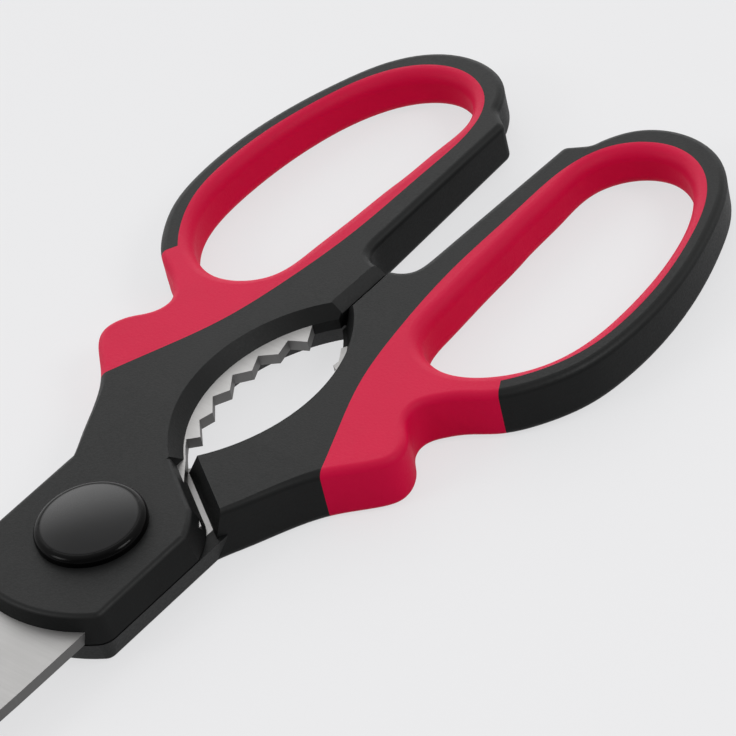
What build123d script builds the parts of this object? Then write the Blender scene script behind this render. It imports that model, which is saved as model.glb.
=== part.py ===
from build123d import *
from math import cos, radians, sin, sqrt, tan
import os

# Kitchen shears lying closed on their side, in millimetres.
# The pivot is the Z axis, the finger loops point to +Y and the blades to -Y.
# The underside of the lower handle is at Z = 0. Both halves are the same
# mouldings and stampings: the upper half is the lower one turned over about Y.

# Thickness of the handles
handle_thickness = 9.75
loop_end_thickness = 7.56
taper_start = 28.0

# Finger loop, across from the middle line to the outer side
land_gap = 5.9
rim_inner = 4.5
lining_inner = 3.0
opening_width = 28.1
lining_outer = 2.5
rim_outer = 3.2

# Finger loop, along from the pivot to the far end
opening_start = 56.8
opening_length = 60.8
lining_end = 1.9
rim_end = 4.4

# Rounding of the mouldings
rim_round = 1.3
lining_round = 2.3

# Hard core under the soft rubber at the neck
core_width = 2.4
core_height = 3.6

# Pivot plate of each handle, measured on its flat inner face
plate_half_width = 16.1
plate_front = 20.2
plate_front_radius = 25.9
plate_corner_radius = 3.2
plate_draft = 18.0
plate_swing = 17.2
plate_round = 0.9
step_clearance = 0.5
step_angle = 57.8
step_draft = 20.0
inner_edge_inset = 0.4

# Toothed jaw between the handles
jaw_reach = 8.4
jaw_centre_along = 40.0
jaw_radius = 26.2
jaw_flare = 2.0
jaw_flare_far = 2.8
tooth_count = 6
tooth_depth = 2.1
tooth_root_depth = 1.6
tooth_lean = 3.0
first_tooth_cut = 1.1
low_tooth_height = 0.7
low_tooth_turn = 5.5
jaw_half_angle = 33.0
jaw_flank_angle = 3.6
jaw_near_angle = 47.0
jaw_end_angle = 4.7
jaw_clearance = 0.7
steel_inset = 0.3
tang_inset = 0.7

# Stop pads where the closed handles meet
pad_gap = 0.2
pad_end = 71.2
pad_chamfer = 1.75
notch_corner_round = 1.7

# Steel blades
blade_reach = 95.0
blade_thickness = 2.0
blade_gap = 0.3
spine_offset = 13.0
heel_offset = 5.5
heel_along = 24.0
tip_overlap = 1.0
bevel_width = 3.2
bevel_depth = 1.7
tang_width = 13.2

# Pivot hardware
screw_radius = 3.0
running_clearance = 0.05
fixed_clearance = 0.02
spring_clearance = 0.3
screw_head_radius = 5.8
screw_head_height = 1.9
driver_slot_width = 1.2
driver_slot_depth = 0.9
washer_radius = 7.0
spring_radius = 6.0
spring_thickness = 0.4
spring_height = 0.6
nut_across_flats = 9.0
nut_height = 1.2
recess_radius = 7.2
cover_clearance = 0.1
cover_thickness = 0.6
cover_wall = 0.7

# Domed cap over the pivot
cap_radius = 9.2
cap_foot = 0.6
cap_edge_radius = 8.0
cap_edge_height = 1.7
cap_height = 2.5
cap_ring_depth = 1.9
cap_ring_wall = 0.9

# Every cut runs past the faces it opens by this much
overrun = 2.0

# Worked out from the sizes above
half_thickness = handle_thickness / 2
plate_top = half_thickness - blade_gap / 2
steel_depth = blade_gap / 2 + blade_thickness
ring_near_x = land_gap + rim_inner
opening_near_x = ring_near_x + lining_inner
opening_far_x = opening_near_x + opening_width
ring_far_x = opening_far_x + lining_outer
half_spread = ring_far_x + rim_outer
opening_end = opening_start + opening_length
ring_reach = opening_end + lining_end
handle_reach = ring_reach + rim_end
pad_x = pad_gap / 2
jaw_centre_back = jaw_radius - jaw_reach
tooth_root_radius = jaw_radius - tooth_root_depth
step_distance = plate_swing + step_clearance
inner_edge_distance = plate_swing - inner_edge_inset

# Places along a handle run from 0 at the pivot over 1 at the start of the
# finger opening to 2 at the far end. Outer side from the pivot plate round the
# shoulder, neck and loop to the notch: shares of half_spread and such places
outer_side_shares = [
    (0.275, 0.052), (0.368, 0.273), (0.517, 0.480), (0.621, 0.561), (0.684, 0.635), (0.651, 0.722),
    (0.596, 0.772), (0.579, 0.833), (0.625, 0.888), (0.658, 0.912), (0.765, 0.966), (0.877, 1.056),
    (0.954, 1.160), (0.986, 1.271), (0.981, 1.479), (0.939, 1.627), (0.875, 1.764), (0.789, 1.884),
    (0.655, 1.969), (0.508, 1.996), (0.380, 1.980), (0.289, 1.935), (0.229, 1.865), (0.193, 1.834),
]

# Corner of the notch, end of the flat land below it and the small recess next
# to the pad: shares of land_gap across and of the way from pad_end to the end
notch_corner_share = (1.10, 0.755)
land_end_share = (0.94, 0.135)
recess_share = (0.73, 0.027)

# Edge of the red rubber on the flat faces: shares of ring_far_x and places along
rubber_edge_shares = [
    (0.564, 0.452), (0.455, 0.642), (0.352, 0.835), (0.289, 1.043), (0.243, 1.306), (0.236, 1.609),
    (0.248, 1.809), (0.325, 1.929), (0.536, 2.000), (0.716, 1.960), (0.831, 1.872), (0.922, 1.722),
    (0.982, 1.546), (1.000, 1.369), (0.977, 1.234), (0.905, 1.116), (0.809, 1.026),
]

# Closing line of the rubber outside the handle, in the same shares
rubber_closing_shares = [(0.882, 0.931), (0.818, 0.793), (0.818, 0.526), (0.614, 0.400)]

# Finger opening: shares of opening_width and opening_length
opening_shares = [
    (0.019, 0.546), (0.040, 0.370), (0.064, 0.200), (0.122, 0.069), (0.388, -0.003), (0.714, 0.052),
    (0.921, 0.175), (1.000, 0.414), (0.930, 0.676), (0.767, 0.865), (0.587, 0.955), (0.371, 0.990),
    (0.152, 0.956), (0.015, 0.868), (0.004, 0.720),
]

# Middle line of the hard core: shares of half_spread and places along
core_shares = [(0.318, 0.598), (0.477, 0.820), (0.652, 0.979), (0.831, 1.068), (0.936, 1.197)]

# Curved part of a spine from its straight run to the tip: shares of
# spine_offset across and of blade_reach along
spine_shares = [(1.000, 0.250), (0.905, 0.560), (0.560, 0.830), (0.270, 0.940)]

# Tang inside the handle from the heel to the end of the jaw:
# shares of tang_width across and of jaw_centre_along along
tang_shares = [(0.780, -0.300), (0.950, 0.000), (1.000, 0.325), (0.960, 0.750), (0.940, 1.100), (0.640, 1.375)]

# Underside of the nut and end of the screw
nut_bottom = half_thickness - steel_depth - spring_height - nut_height

# Flat outer face of a handle, which falls a little towards the loop's far end
taper_slope = (half_thickness - loop_end_thickness / 2) / (handle_reach - taper_start)
tapered_face = Plane(
    origin=(0, 0, half_thickness + taper_start * taper_slope), x_dir=(1, 0, 0), z_dir=(0, taper_slope, 1)
)

# Directions across the step of a handle, across the inner edge of its plate
# and along that edge
step_across = Vector(cos(radians(step_angle)), sin(radians(step_angle)), 0)
step_normal = Vector(-step_across.X, step_across.Y, 0)
step_along = Vector(sin(radians(step_angle)), cos(radians(step_angle)), 0)


def scaled(shares, across, along, start_x=0, start_y=0):
    """Turn pairs of shares into points of the plan."""
    return [(start_x + x * across, start_y + y * along) for x, y in shares]


def on_handle(shares, across, reach):
    """Turn shares of the width and places along the handle into points of the plan."""
    return [
        (x * across, min(place, 1) * opening_start + max(place - 1, 0) * (reach - opening_start))
        for x, place in shares
    ]


def on_jaw(radius, angle):
    """Point at this radius and angle about the centre of the jaw's curve."""
    across = radius * cos(radians(angle)) - jaw_centre_back
    return (across, jaw_centre_along + radius * sin(radians(angle)))


def tooth_points():
    """Edge of the toothed jaw from its near end. The teeth nearer to the pivot lean to it."""
    pitch = 2 * jaw_half_angle / (tooth_count - 1)
    points = []
    for tooth in range(tooth_count):
        angle = tooth * pitch - jaw_half_angle
        nearness = 1 - tooth / (tooth_count - 1)
        tip_radius = tooth_root_radius - tooth_depth + first_tooth_cut * nearness**4
        points.append(on_jaw(tip_radius, angle - tooth_lean * nearness**2))
        if tooth < tooth_count - 1:
            points.append(on_jaw(tooth_root_radius, angle + pitch / 2))
    return points


def low_tooth_points():
    """Edge of the lower blade's jaw from its near end: low teeth on a curve just inside the moulding."""
    pitch = 2 * jaw_half_angle / (tooth_count - 1)
    foot_radius = jaw_radius - steel_inset
    half_width = pitch * low_tooth_height / tooth_depth / 2
    points = []
    for tooth in range(tooth_count):
        angle = tooth * pitch - jaw_half_angle - low_tooth_turn
        points.append(on_jaw(foot_radius, angle - half_width))
        points.append(on_jaw(foot_radius - low_tooth_height, angle))
        points.append(on_jaw(foot_radius, angle + half_width))
    points.append(on_jaw(foot_radius, jaw_half_angle))
    points.append(on_jaw(foot_radius, jaw_half_angle + jaw_end_angle))
    return points


# Solid shape of one handle, hard and soft parts together. Z = 0 is the plane
# between the two halves and this half's own plate lies below it.
with BuildPart() as handle_form:
    with BuildSketch(tapered_face) as outline:
        with BuildLine():
            outer_points = on_handle(outer_side_shares, half_spread, handle_reach)
            loop_run = handle_reach - pad_end
            corner = scaled([notch_corner_share], land_gap, loop_run, start_y=pad_end)[0]
            land_end = scaled([land_end_share], land_gap, loop_run, start_y=pad_end)[0]
            recess_middle = scaled([recess_share], land_gap, loop_run, start_y=pad_end)[0]
            notch_way = Vector(*corner) - Vector(*outer_points[-1])
            land_way = Vector(*land_end) - Vector(*corner)
            Spline(*outer_points, tangents=[(0, 1), notch_way.normalized()])
            Polyline(outer_points[-1], corner, land_end)
            Spline(land_end, recess_middle, (pad_x, pad_end), tangents=[land_way.normalized(), (-1, 0)])
            Polyline((pad_x, pad_end), (pad_x, outer_points[0][1]), outer_points[0])
        make_face()
        fillet(outline.vertices().sort_by_distance(corner)[0], radius=notch_corner_round)
    extrude(amount=-handle_thickness)
    rim_edges = handle_form.faces().sort_by(Axis.Z)[-1].edges().filter_by(Axis.X, reverse=True)
    fillet(rim_edges.filter_by(lambda edge: edge.center().X > pad_gap), radius=rim_round)
    split(bisect_by=Plane.XY, keep=Keep.TOP)
    split(bisect_by=Plane.XY.offset(half_thickness), keep=Keep.BOTTOM)
    mirror(about=Plane.XY)

# Drafted plate that carries the pivot, with its top edge softened
with BuildPart() as plate:
    with BuildSketch(Plane.XY.offset(-blade_gap / 2)) as plate_outline:
        with BuildLine():
            arc_back = plate_front_radius - sqrt(plate_front_radius**2 - plate_half_width**2)
            front_corner = plate_front - arc_back
            inner_run = sqrt(plate_swing**2 - inner_edge_distance**2)
            inner_corner = step_normal * inner_edge_distance - step_along * inner_run
            inner_end = step_normal * inner_edge_distance + step_along * plate_half_width * 0.65
            swing_start = (-plate_half_width, sqrt(plate_swing**2 - plate_half_width**2))
            RadiusArc((plate_half_width, -front_corner), (-plate_half_width, -front_corner), plate_front_radius)
            Line((-plate_half_width, -front_corner), swing_start)
            RadiusArc(swing_start, (inner_corner.X, inner_corner.Y), plate_swing)
            Polyline(
                (inner_corner.X, inner_corner.Y), (inner_end.X, inner_end.Y),
                (plate_half_width, plate_half_width * 0.8), (plate_half_width, -front_corner),
            )
        make_face()
        fillet(plate_outline.vertices().sort_by(Axis.Y)[0:2], radius=plate_corner_radius)
    extrude(amount=plate_top, dir=(0, 0, -1), taper=plate_draft)
    fillet(plate.faces().sort_by(Axis.Z)[0].edges(), radius=plate_round)

# Steel half: blade in front of the pivot, tang and toothed jaw behind it
with BuildPart() as steel:
    with BuildSketch(Plane.XY.offset(-blade_gap / 2)):
        with BuildLine():
            steel_swing = plate_swing - steel_inset
            tang_end = step_normal * (inner_edge_distance - tang_inset) + step_along * plate_swing / 3
            spine_top = (-spine_offset, sqrt(steel_swing**2 - spine_offset**2))
            near_radius = jaw_radius - steel_inset
            near_flank = jaw_half_angle + jaw_flank_angle
            near_middle = (near_flank + jaw_near_angle) / 2
            spine_points = scaled(spine_shares, -spine_offset, -blade_reach)
            tang_points = scaled(tang_shares, tang_width, jaw_centre_along)
            heel = (heel_offset, -heel_along)
            tip = (tip_overlap, -blade_reach)
            Line(spine_top, spine_points[0])
            Spline(*spine_points, tip, tangents=[(0, -1), (1, -1)])
            Polyline(tip, heel, tang_points[0])
            Spline(*tang_points)
            Polyline(tang_points[-1], on_jaw(jaw_radius + jaw_clearance, jaw_half_angle + jaw_end_angle))
            Polyline(
                on_jaw(jaw_radius + jaw_clearance, jaw_half_angle + jaw_end_angle),
                *reversed(tooth_points()), on_jaw(near_radius, -near_flank),
            )
            ThreePointArc(
                on_jaw(near_radius, -near_flank), on_jaw(near_radius, -near_middle),
                on_jaw(near_radius, -jaw_near_angle),
            )
            Polyline(on_jaw(near_radius, -jaw_near_angle), (tang_end.X, tang_end.Y), spine_top)
        make_face()
    extrude(amount=-blade_thickness)
    edge_way = (Vector(*tip) - Vector(*heel)).normalized()
    bevel_plane = Plane(
        origin=(heel[0], heel[1], -steel_depth), x_dir=(-edge_way.Y, edge_way.X, 0), z_dir=edge_way
    )
    bevel_slope = bevel_depth / bevel_width
    with BuildSketch(bevel_plane):
        with BuildLine():
            low = (-bevel_width - overrun, -overrun * bevel_slope)
            high = (overrun, bevel_depth + overrun * bevel_slope)
            Polyline(low, high, (high[0], low[1]), low)
        make_face()
    extrude(amount=blade_reach, mode=Mode.SUBTRACT)

# One handle with its plate, step, open jaw, stop pad, finger opening and recess
with BuildPart() as moulding:
    add(handle_form.part)
    with BuildSketch(Plane(origin=(0, 0, 0), x_dir=step_across, z_dir=(step_across.Y, -step_across.X, 0))):
        with BuildLine():
            top = half_thickness + overrun
            step_top = step_distance + (top + blade_gap / 2) * tan(radians(step_draft))
            Polyline(
                (-half_spread, -blade_gap / 2), (step_distance, -blade_gap / 2),
                (step_top, top), (-half_spread, top), (-half_spread, -blade_gap / 2),
            )
        make_face()
    extrude(amount=half_spread, both=True, mode=Mode.SUBTRACT)
    add(plate.part)
    jaw_axis = Axis((-jaw_centre_back, jaw_centre_along, 0), (0, 0, 1))
    with BuildSketch(Plane(origin=jaw_axis.position, x_dir=(1, 0, 0), z_dir=(0, -1, 0))):
        with BuildLine():
            near_flare = overrun * jaw_flare / (half_thickness - steel_depth)
            far_flare = overrun * (jaw_flare_far - jaw_clearance) / plate_top
            Polyline(
                (0, -half_thickness - overrun),
                (jaw_radius + jaw_flare + near_flare, -half_thickness - overrun),
                (jaw_radius, -steel_depth),
                (jaw_radius, -blade_gap / 2),
                (jaw_radius + jaw_clearance, -blade_gap / 2),
                (jaw_radius + jaw_flare_far + far_flare, half_thickness + overrun),
                (0, half_thickness + overrun),
                (0, -half_thickness - overrun),
            )
        make_face()
    revolve(axis=jaw_axis, mode=Mode.SUBTRACT)
    with BuildSketch(Plane(origin=(0, pad_end + pad_chamfer, 0), x_dir=(1, 0, 0), z_dir=(0, -1, 0))):
        with BuildLine():
            pad_top = half_thickness - (pad_end - taper_start) * taper_slope
            chamfer_foot = (pad_x - overrun, pad_top - pad_chamfer - overrun)
            chamfer_head = (pad_x + pad_chamfer + overrun, pad_top + overrun)
            Polyline(chamfer_foot, chamfer_head, (chamfer_foot[0], chamfer_head[1]), chamfer_foot)
        make_face()
        mirror(about=Plane.XZ)
    extrude(amount=pad_end + pad_chamfer - jaw_centre_along * 1.5, mode=Mode.SUBTRACT)
    with BuildSketch():
        with BuildLine():
            opening_points = scaled(opening_shares, opening_width, opening_length, opening_near_x, opening_start)
            Spline(*opening_points, periodic=True)
        make_face()
    extrude(amount=handle_thickness, both=True, mode=Mode.SUBTRACT)
    fillet(moulding.edges(Select.LAST).filter_by(Axis.Z, reverse=True), radius=lining_round)
    add(steel.part, mode=Mode.SUBTRACT)
    with BuildSketch(Plane.XY.offset(-steel_depth)):
        Circle(recess_radius)
    extrude(amount=-half_thickness, mode=Mode.SUBTRACT)

# Thin hard core that ties the neck of the handle to its outer rim
with BuildPart() as core:
    with BuildSketch():
        with BuildLine() as core_line:
            Spline(*on_handle(core_shares, half_spread, handle_reach))
        trace(lines=core_line.line, line_width=core_width)
    extrude(amount=core_height / 2, both=True)

# Room of the rubber: everything inside the colour edge but the core
with BuildPart() as rubber_room:
    with BuildSketch():
        with BuildLine():
            rubber_points = on_handle(rubber_edge_shares, ring_far_x, ring_reach)
            closing_points = on_handle(rubber_closing_shares, ring_far_x, ring_reach)
            Spline(*rubber_points)
            Polyline(rubber_points[-1], *closing_points, rubber_points[0])
        make_face()
    extrude(amount=half_thickness + overrun, both=True)
    add(core.part, mode=Mode.SUBTRACT)

# Soft rubber: the part of the moulding in that room
with BuildPart() as rubber:
    add(rubber_room.part)
    add(moulding.part, mode=Mode.INTERSECT)

# Hard plastic: the rest of the moulding
with BuildPart() as hard:
    add(moulding.part)
    add(rubber_room.part, mode=Mode.SUBTRACT)

# Lower half, at +X of the pivot
with BuildPart() as lower_handle:
    with Locations((0, 0, half_thickness)):
        add(hard.part)

with BuildPart() as lower_soft_grip:
    with Locations((0, 0, half_thickness)):
        add(rubber.part)

with BuildPart() as lower_blade:
    with Locations((0, 0, half_thickness)):
        add(steel.part)
    with BuildSketch():
        Circle(screw_radius + running_clearance)
        with BuildLine():
            low_points = low_tooth_points()
            Polyline((-jaw_centre_back, jaw_centre_along), *low_points, (-jaw_centre_back, jaw_centre_along))
        make_face()
    extrude(amount=handle_thickness, mode=Mode.SUBTRACT)

# Upper half: the same pieces turned over about the long axis
with BuildPart() as upper_handle:
    with Locations((0, 0, half_thickness)):
        add(hard.part, rotation=(0, 180, 0))

with BuildPart() as upper_soft_grip:
    with Locations((0, 0, half_thickness)):
        add(rubber.part, rotation=(0, 180, 0))

with BuildPart() as upper_blade:
    with Locations((0, 0, half_thickness)):
        add(steel.part, rotation=(0, 180, 0))
    with BuildSketch():
        Circle(screw_radius + fixed_clearance)
    extrude(amount=handle_thickness, mode=Mode.SUBTRACT)

# Screw with a slotted head that sits on the upper blade
with BuildPart() as pivot_screw:
    with BuildSketch(Plane.XY.offset(nut_bottom)):
        Circle(screw_radius)
    extrude(amount=half_thickness + steel_depth - nut_bottom)
    with BuildSketch(Plane.XY.offset(half_thickness + steel_depth)):
        Circle(screw_head_radius)
    extrude(amount=screw_head_height)
    chamfer(pivot_screw.faces().sort_by(Axis.Z)[-1].edges(), length=driver_slot_depth / 3)
    with BuildSketch(Plane.XY.offset(half_thickness + steel_depth + screw_head_height)):
        Rectangle(screw_head_radius * 3, driver_slot_width)
    extrude(amount=-driver_slot_depth, mode=Mode.SUBTRACT)

# Thin ring that keeps the two blades apart
with BuildPart() as blade_washer:
    with BuildSketch(Plane.XY.offset(half_thickness - blade_gap / 2)):
        Circle(washer_radius)
        Circle(screw_radius + spring_clearance, mode=Mode.SUBTRACT)
    extrude(amount=blade_gap)

# Dished spring ring between the lower blade and the nut
with BuildPart() as spring_washer:
    with BuildSketch(Plane.XZ):
        with BuildLine():
            spring_top = half_thickness - steel_depth
            spring_inner = screw_radius + spring_clearance
            Polyline(
                (spring_radius, spring_top), (spring_radius, spring_top - spring_thickness),
                (spring_inner, spring_top - spring_height),
                (spring_inner, spring_top - spring_height + spring_thickness),
                (spring_radius, spring_top),
            )
        make_face()
    revolve(axis=Axis.Z)

# Hexagonal nut on the end of the screw
with BuildPart() as pivot_nut:
    with BuildSketch(Plane.XY.offset(nut_bottom)):
        RegularPolygon(nut_across_flats / 2, 6, major_radius=False)
        Circle(screw_radius + fixed_clearance, mode=Mode.SUBTRACT)
    extrude(amount=nut_height)

# Flat cover that closes the recess under the nut and rests on the lower blade
with BuildPart() as nut_cover:
    with BuildSketch():
        Circle(recess_radius - cover_clearance)
    extrude(amount=half_thickness - steel_depth)
    with BuildSketch(Plane.XY.offset(cover_thickness)):
        Circle(recess_radius - cover_clearance - cover_wall)
    extrude(amount=half_thickness, mode=Mode.SUBTRACT)

# Domed cap on the upper plate, with a ring that plugs into the recess
with BuildPart() as pivot_cap:
    with BuildSketch(Plane.XZ):
        with BuildLine():
            foot = handle_thickness
            ring_outer = recess_radius - cover_clearance
            ring_inner = ring_outer - cap_ring_wall
            TangentArc((0, foot + cap_height), (cap_edge_radius, foot + cap_edge_height), tangent=(1, 0))
            TangentArc((cap_radius, foot + cap_foot), (cap_edge_radius, foot + cap_edge_height), tangent=(0, 1))
            Polyline(
                (cap_radius, foot + cap_foot), (cap_radius, foot), (ring_outer, foot),
                (ring_outer, foot - cap_ring_depth), (ring_inner, foot - cap_ring_depth),
                (ring_inner, foot), (0, foot), (0, foot + cap_height),
            )
        make_face()
    revolve(axis=Axis.Z)

os.makedirs("parts", exist_ok=True)
lower_handle.part.label = "lower_handle"
export_step(lower_handle.part, "parts/lower_handle.step")
upper_handle.part.label = "upper_handle"
export_step(upper_handle.part, "parts/upper_handle.step")
lower_soft_grip.part.label = "lower_soft_grip"
export_step(lower_soft_grip.part, "parts/lower_soft_grip.step")
upper_soft_grip.part.label = "upper_soft_grip"
export_step(upper_soft_grip.part, "parts/upper_soft_grip.step")
lower_blade.part.label = "lower_blade"
export_step(lower_blade.part, "parts/lower_blade.step")
upper_blade.part.label = "upper_blade"
export_step(upper_blade.part, "parts/upper_blade.step")
pivot_screw.part.label = "pivot_screw"
export_step(pivot_screw.part, "parts/pivot_screw.step")
blade_washer.part.label = "blade_washer"
export_step(blade_washer.part, "parts/blade_washer.step")
spring_washer.part.label = "spring_washer"
export_step(spring_washer.part, "parts/spring_washer.step")
pivot_nut.part.label = "pivot_nut"
export_step(pivot_nut.part, "parts/pivot_nut.step")
nut_cover.part.label = "nut_cover"
export_step(nut_cover.part, "parts/nut_cover.step")
pivot_cap.part.label = "pivot_cap"
export_step(pivot_cap.part, "parts/pivot_cap.step")
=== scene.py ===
import math

import bpy
import numpy as np
from mathutils import Matrix, Vector

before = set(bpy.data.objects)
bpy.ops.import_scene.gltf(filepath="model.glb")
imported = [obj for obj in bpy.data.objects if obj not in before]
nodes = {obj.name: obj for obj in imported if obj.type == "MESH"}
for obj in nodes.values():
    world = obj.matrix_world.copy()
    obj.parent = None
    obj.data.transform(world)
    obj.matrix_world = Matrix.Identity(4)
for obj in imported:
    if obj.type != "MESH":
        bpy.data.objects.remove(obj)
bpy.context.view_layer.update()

# Sizes and places in metres
mm = 0.001
cap_radius = nodes["pivot_cap"].dimensions.x / 2
jaw_start = 18 * mm
jaw_full = 24 * mm
floor_half = 6.0
floor_drop = 0.2 * mm
lamp_size = 0.35
lamp_target = (0, 0.03, 0)
lamps = [
    ("soft_box_left", (-0.46, -0.77, 0.62), 1.8),
    ("soft_box_right", (0.78, 0.27, 0.73), 2.8),
]

# Light of the room: the way to the lit backdrop behind the object, and levels
# from straight away from it (0) to straight at it (1)
backdrop_way = (-0.76, 0.65, 0.18)
air_levels = [(0.30, 0.10), (0.60, 0.25), (0.82, 0.31), (0.895, 0.40), (0.97, 1.0)]
air_strength = 2.4
floor_tone = (0.84, 0.84, 0.85, 1)
backdrop_tone = (0.87, 0.87, 0.88, 1)
backdrop_share = 0.75

# Camera at the photograph's viewing angle, with places in millimetres
azimuth = math.radians(49.48)
pitch = math.radians(39.53)
roll = math.radians(-13.59)
object_tilt = math.radians(0.509)
tilt_point = np.array([0.0, 3.0, 9.75])
eye_place = np.array([377.44, -259.91, 403.9])
focal_pixels = 3868.5
picture_pixels = 736
sensor_width = 36.0


def new_material(name):
    """An empty node material with a Principled shader wired to its output."""
    material = bpy.data.materials.new(name)
    material.use_nodes = True
    tree = material.node_tree
    tree.nodes.clear()
    output = tree.nodes.new("ShaderNodeOutputMaterial")
    shader = tree.nodes.new("ShaderNodeBsdfPrincipled")
    tree.links.new(shader.outputs["BSDF"], output.inputs["Surface"])
    return material, tree, shader


def wire(tree, shader, signals):
    """Link each signal to the shader's socket of that name."""
    for socket, signal in signals.items():
        tree.links.new(signal, shader.inputs[socket])


def object_place(tree, stretch=(1, 1, 1)):
    """Object coordinates in metres, stretched along each axis."""
    place = tree.nodes.new("ShaderNodeTexCoord")
    mapping = tree.nodes.new("ShaderNodeMapping")
    mapping.inputs["Scale"].default_value = stretch
    tree.links.new(place.outputs["Object"], mapping.inputs["Vector"])
    return mapping.outputs["Vector"]


def grain(tree, place, cells, detail=3.0):
    """Noise with this many cells to the metre."""
    noise = tree.nodes.new("ShaderNodeTexNoise")
    noise.inputs["Scale"].default_value = cells
    noise.inputs["Detail"].default_value = detail
    noise.inputs["Roughness"].default_value = 0.6
    tree.links.new(place, noise.inputs["Vector"])
    return noise.outputs["Fac"]


def blended(tree, factor, stops):
    """A ramp through stops of a place and a colour or a grey level."""
    ramp = tree.nodes.new("ShaderNodeValToRGB")
    elements = ramp.color_ramp.elements
    while len(elements) < len(stops):
        elements.new(0.5)
    for element, (place, value) in zip(elements, stops):
        element.position = place
        element.color = (*np.broadcast_to(value, 3), 1)
    tree.links.new(factor, ramp.inputs["Fac"])
    return ramp.outputs["Color"]


def worked_out(tree, operation, first, second=None):
    """One level, or two put together, by this operation and kept between 0 and 1."""
    node = tree.nodes.new("ShaderNodeMath")
    node.operation = operation
    node.use_clamp = True
    tree.links.new(first, node.inputs[0])
    if second is not None:
        tree.links.new(second, node.inputs[1])
    return node.outputs[0]


def scaled(tree, level, factor):
    """A level times a plain number."""
    node = tree.nodes.new("ShaderNodeMath")
    node.operation = "MULTIPLY"
    node.inputs[1].default_value = factor
    tree.links.new(level, node.inputs[0])
    return node.outputs[0]


def toned(tree, colour, level):
    """The colour multiplied by a level."""
    mix = tree.nodes.new("ShaderNodeVectorMath")
    mix.operation = "MULTIPLY"
    tree.links.new(colour, mix.inputs[0])
    tree.links.new(level, mix.inputs[1])
    return mix.outputs["Vector"]


def facing_up(tree, stops):
    """A ramp over how level the surface lies: 0 for upright walls, 1 for flats."""
    place = tree.nodes.new("ShaderNodeTexCoord")
    parts = tree.nodes.new("ShaderNodeSeparateXYZ")
    tree.links.new(place.outputs["Normal"], parts.inputs["Vector"])
    return blended(tree, worked_out(tree, "ABSOLUTE", parts.outputs["Z"]), stops)


def from_axis(tree, reach, stops):
    """A ramp over the distance from the pivot's axis, as a share of this reach in metres."""
    flat = tree.nodes.new("ShaderNodeVectorMath")
    flat.operation = "LENGTH"
    tree.links.new(object_place(tree, (1 / reach, 1 / reach, 0)), flat.inputs[0])
    return blended(tree, flat.outputs["Value"], stops)


def into_jaw(tree, low, high):
    """A level that goes from low on the blades to high in the jaw."""
    parts = tree.nodes.new("ShaderNodeSeparateXYZ")
    tree.links.new(object_place(tree), parts.inputs["Vector"])
    span = tree.nodes.new("ShaderNodeMapRange")
    for name, value in [("From Min", jaw_start), ("From Max", jaw_full), ("To Min", low), ("To Max", high)]:
        span.inputs[name].default_value = value
    tree.links.new(parts.outputs["Y"], span.inputs["Value"])
    return span.outputs["Result"]


def raised(tree, height, strength, depth):
    """Bump from a height signal."""
    bump = tree.nodes.new("ShaderNodeBump")
    bump.inputs["Strength"].default_value = strength
    bump.inputs["Distance"].default_value = depth
    tree.links.new(height, bump.inputs["Height"])
    return bump.outputs["Normal"]


def hard_plastic():
    """Hard black handle plastic: fine matt grain, an uneven tone, and duller walls than rounds."""
    tones = [(0.3, (0.0085, 0.0090, 0.0090)), (0.7, (0.0115, 0.0120, 0.0120))]
    roughness = [(0.3, 0.44), (0.7, 0.56)]
    sheen = [(0.3, 0.11), (0.65, 0.34), (0.95, 0.2)]
    material, tree, shader = new_material("hard_black_plastic")
    place = object_place(tree)
    cloud = grain(tree, place, cells=60.0)
    fine = grain(tree, place, cells=2600.0, detail=2.0)
    wire(tree, shader, {
        "Base Color": blended(tree, cloud, tones),
        "Roughness": blended(tree, fine, roughness),
        "Normal": raised(tree, fine, strength=0.55, depth=0.04 * mm),
        "Specular IOR Level": facing_up(tree, sheen),
    })
    return material


def soft_rubber():
    """Red rubber: matt, with a faint bloom, fine grain and dull walls."""
    tones = [(0.3, (0.65, 0.0018, 0.050)), (0.7, (0.70, 0.0026, 0.056))]
    roughness = [(0.3, 0.50), (0.7, 0.62)]
    sheen = [(0.2, 0.07), (0.8, 0.2)]
    material, tree, shader = new_material("soft_red_rubber")
    place = object_place(tree)
    cloud = grain(tree, place, cells=45.0)
    fine = grain(tree, place, cells=2200.0, detail=2.0)
    wire(tree, shader, {
        "Base Color": blended(tree, cloud, tones),
        "Roughness": blended(tree, fine, roughness),
        "Normal": raised(tree, fine, strength=0.65, depth=0.05 * mm),
        "Specular IOR Level": facing_up(tree, sheen),
    })
    return material


def blade_steel():
    """Satin steel: lines ground across the blade and a faint stain, painted shade darkening upright faces,
    and painted light brightening the jaw.
    """
    tones = [(0.3, (0.40, 0.395, 0.39)), (0.7, (0.43, 0.425, 0.42))]
    roughness = [(0.3, 0.40), (0.7, 0.50)]
    # Painted shade: upright faces such as tooth walls and cut edges drop to this share of the steel's tone
    painted_wall_shade = [(0.10, 0.35), (0.60, 1.0)]
    line_cells = (60.0, 1800.0, 60.0)
    material, tree, shader = new_material("satin_blade_steel")
    lines = grain(tree, object_place(tree, line_cells), cells=1.0, detail=4.0)
    cloud = grain(tree, object_place(tree), cells=70.0)
    lines_with_painted_wall_shade = toned(tree, blended(tree, lines, tones), facing_up(tree, painted_wall_shade))
    rough = blended(tree, cloud, roughness)
    wire(tree, shader, {
        # Painted light: the base colour rises to 1.6 times in the jaw, brightening steel that lies in the
        # handles' shade
        "Base Color": toned(tree, lines_with_painted_wall_shade, into_jaw(tree, low=1.0, high=1.6)),
        "Roughness": worked_out(tree, "ADD", rough, into_jaw(tree, low=0.0, high=0.2)),
        "Normal": raised(tree, lines, strength=0.14, depth=0.03 * mm),
    })
    shader.inputs["Metallic"].default_value = 1.0
    return material


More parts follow.
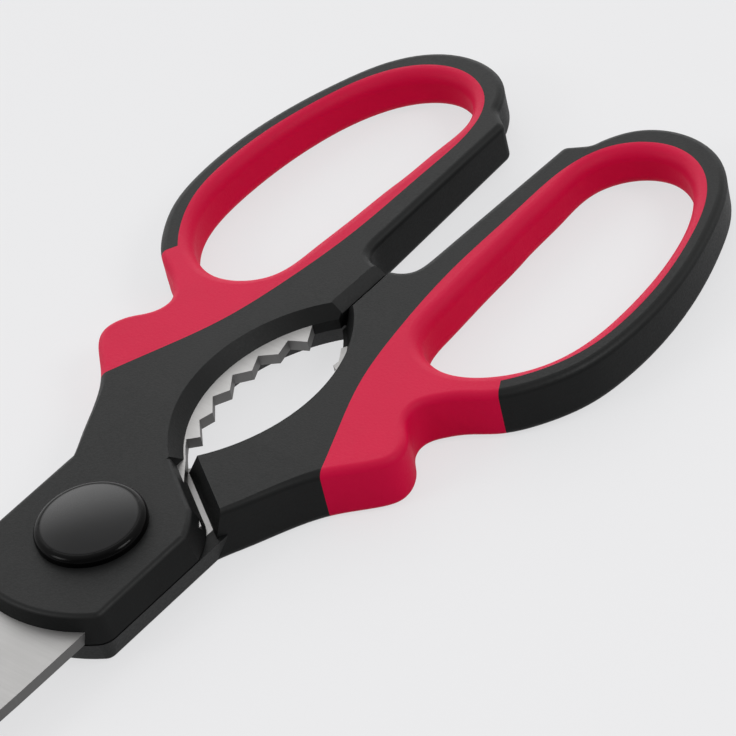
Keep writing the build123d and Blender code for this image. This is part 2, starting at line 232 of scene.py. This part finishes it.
def cap_plastic():
    """Glossy black cap: a faintly wavy dome, and past the dome's edge a duller rim whose colour is darkened
    as painted shade.
    """
    tones = [(0.3, (0.012, 0.012, 0.0125)), (0.7, (0.015, 0.015, 0.0155))]
    roughness = [(0.35, 0.17), (0.75, 0.23)]
    # Painted shade: past the dome's edge the colour drops to 0.12 of the dome's
    rim_painted_shade = [(0.837, 1.0), (0.870, 0.12)]
    rim_sheen = [(0.837, 0.25), (0.870, 0.10)]
    material, tree, shader = new_material("glossy_black_plastic")
    place = object_place(tree)
    wave = grain(tree, place, cells=90.0, detail=1.0)
    specks = grain(tree, place, cells=1400.0, detail=2.0)
    wire(tree, shader, {
        "Base Color": toned(tree, blended(tree, wave, tones), from_axis(tree, cap_radius, rim_painted_shade)),
        "Roughness": blended(tree, specks, roughness),
        "Normal": raised(tree, wave, strength=0.04, depth=0.2 * mm),
        "Specular IOR Level": from_axis(tree, cap_radius, rim_sheen),
    })
    return material


def fastener_steel():
    """Turned and plated steel of the screw, nut and spring ring, with fine turning lines."""
    tones = [(0.3, (0.42, 0.42, 0.43)), (0.7, (0.52, 0.52, 0.52))]
    roughness = [(0.3, 0.28), (0.7, 0.38)]
    turned_stretch = (1, 1, 6)
    material, tree, shader = new_material("plated_fastener_steel")
    cloud = grain(tree, object_place(tree), cells=400.0)
    fine = grain(tree, object_place(tree, turned_stretch), cells=2500.0)
    wire(tree, shader, {
        "Base Color": blended(tree, cloud, tones),
        "Roughness": blended(tree, cloud, roughness),
        "Normal": raised(tree, fine, strength=0.2, depth=0.03 * mm),
    })
    shader.inputs["Metallic"].default_value = 1.0
    return material


def washer_plastic():
    """White plastic of the ring between the blades."""
    tones = [(0.3, (0.72, 0.72, 0.69)), (0.7, (0.80, 0.80, 0.77))]
    roughness = [(0.3, 0.40), (0.7, 0.50)]
    material, tree, shader = new_material("white_ring_plastic")
    cloud = grain(tree, object_place(tree), cells=300.0)
    wire(tree, shader, {
        "Base Color": blended(tree, cloud, tones),
        "Roughness": blended(tree, cloud, roughness),
        "Normal": raised(tree, cloud, strength=0.1, depth=0.05 * mm),
    })
    return material


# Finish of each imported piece
pieces_by_finish = [
    (hard_plastic(), ["lower_handle", "upper_handle", "nut_cover"]),
    (soft_rubber(), ["lower_soft_grip", "upper_soft_grip"]),
    (blade_steel(), ["lower_blade", "upper_blade"]),
    (cap_plastic(), ["pivot_cap"]),
    (fastener_steel(), ["pivot_screw", "pivot_nut", "spring_washer"]),
    (washer_plastic(), ["blade_washer"]),
]
for finish, pieces in pieces_by_finish:
    for name in pieces:
        for material_slot in nodes[name].material_slots:
            material_slot.link = "OBJECT"
            material_slot.material = finish


def floor_material():
    """Pale floor that keeps the shadow; seen directly, reflected or through, most of it is plain backdrop."""
    material, tree, shader = new_material("pale_floor")
    shader.inputs["Base Color"].default_value = floor_tone
    shader.inputs["Roughness"].default_value = 0.9
    shader.inputs["Specular IOR Level"].default_value = 0.0
    plain = tree.nodes.new("ShaderNodeEmission")
    plain.inputs["Color"].default_value = backdrop_tone
    rays = tree.nodes.new("ShaderNodeLightPath")
    seen = worked_out(tree, "ADD", rays.outputs["Is Camera Ray"], rays.outputs["Is Glossy Ray"])
    seen_or_through = worked_out(tree, "ADD", seen, rays.outputs["Is Transmission Ray"])
    mixed = tree.nodes.new("ShaderNodeMixShader")
    tree.links.new(scaled(tree, seen_or_through, backdrop_share), mixed.inputs[0])
    tree.links.new(shader.outputs["BSDF"], mixed.inputs[1])
    tree.links.new(plain.outputs["Emission"], mixed.inputs[2])
    tree.links.new(mixed.outputs["Shader"], tree.nodes["Material Output"].inputs["Surface"])
    return material


def flat_sheet(name, half_size, height):
    """A level square sheet: the corners of a unit square times its half size, at this height."""
    unit_square = np.array([(-1, -1), (1, -1), (1, 1), (-1, 1)])
    corners = np.column_stack([unit_square * half_size, np.full(len(unit_square), height)])
    mesh = bpy.data.meshes.new(name)
    mesh.from_pydata(corners.tolist(), [], [range(len(corners))])
    sheet = bpy.data.objects.new(name, mesh)
    bpy.context.scene.collection.objects.link(sheet)
    return sheet


floor = flat_sheet("studio_floor", floor_half, -floor_drop)
floor.data.materials.append(floor_material())


def studio_air():
    """Light of the world by direction: a ramp over the dot product with the way to the lit backdrop."""
    air = bpy.data.worlds.new("studio_air")
    air.use_nodes = True
    tree = air.node_tree
    place = tree.nodes.new("ShaderNodeTexCoord")
    facing = tree.nodes.new("ShaderNodeVectorMath")
    facing.operation = "DOT_PRODUCT"
    facing.inputs[1].default_value = Vector(backdrop_way).normalized()
    tree.links.new(place.outputs["Generated"], facing.inputs[0])
    spread = tree.nodes.new("ShaderNodeMapRange")
    spread.inputs["From Min"].default_value = -1.0
    tree.links.new(facing.outputs["Value"], spread.inputs["Value"])
    level = blended(tree, spread.outputs["Result"], air_levels)
    background = tree.nodes["Background"]
    background.inputs["Color"].default_value = (1.0, 1.0, 1.0, 1)
    tree.links.new(scaled(tree, level, air_strength), background.inputs["Strength"])
    bpy.context.scene.world = air


def soft_box(name, place, power):
    """A square area lamp at this place, turned to the object."""
    data = bpy.data.lights.new(name, "AREA")
    data.shape = "SQUARE"
    data.size = lamp_size
    data.energy = power
    lamp = bpy.data.objects.new(name, data)
    lamp.location = place
    lamp.rotation_mode = "QUATERNION"
    lamp.rotation_quaternion = (Vector(lamp_target) - Vector(place)).to_track_quat("-Z", "Y")
    bpy.context.scene.collection.objects.link(lamp)


def photo_camera():
    """Camera from its angles about the photographed shears, which lie tilted a little about the X axis.

    The level way of looking is pitched down, its right and up are rolled, and all
    three and the eye are turned back by the tilt, so that the shears stay flat.
    """
    level = np.array([-math.sin(azimuth), math.cos(azimuth), 0.0])
    forward = math.cos(pitch) * level - math.sin(pitch) * np.array([0, 0, 1.0])
    right = np.cross(level, [0, 0, 1.0])
    upward = np.cross(right, forward)
    right_rolled = math.cos(roll) * right + math.sin(roll) * upward
    up_rolled = -math.sin(roll) * right + math.cos(roll) * upward
    turn_back = np.array(Matrix.Rotation(-object_tilt, 3, "X"))
    eye = turn_back @ (eye_place - tilt_point) + tilt_point
    axes = turn_back @ np.stack([right_rolled, up_rolled, -forward], axis=1)
    data = bpy.data.cameras.new("photo_camera")
    data.sensor_width = sensor_width
    data.lens = focal_pixels / picture_pixels * sensor_width
    data.clip_start = 10 * mm
    data.clip_end = 50.0
    camera = bpy.data.objects.new("photo_camera", data)
    camera.matrix_world = Matrix.Translation(Vector(eye * mm)) @ Matrix(axes.tolist()).to_4x4()
    bpy.context.scene.collection.objects.link(camera)
    bpy.context.scene.camera = camera


studio_air()
for lamp_name, lamp_place, lamp_power in lamps:
    soft_box(lamp_name, lamp_place, lamp_power)
photo_camera()
bpy.context.scene.view_settings.view_transform = "Standard"
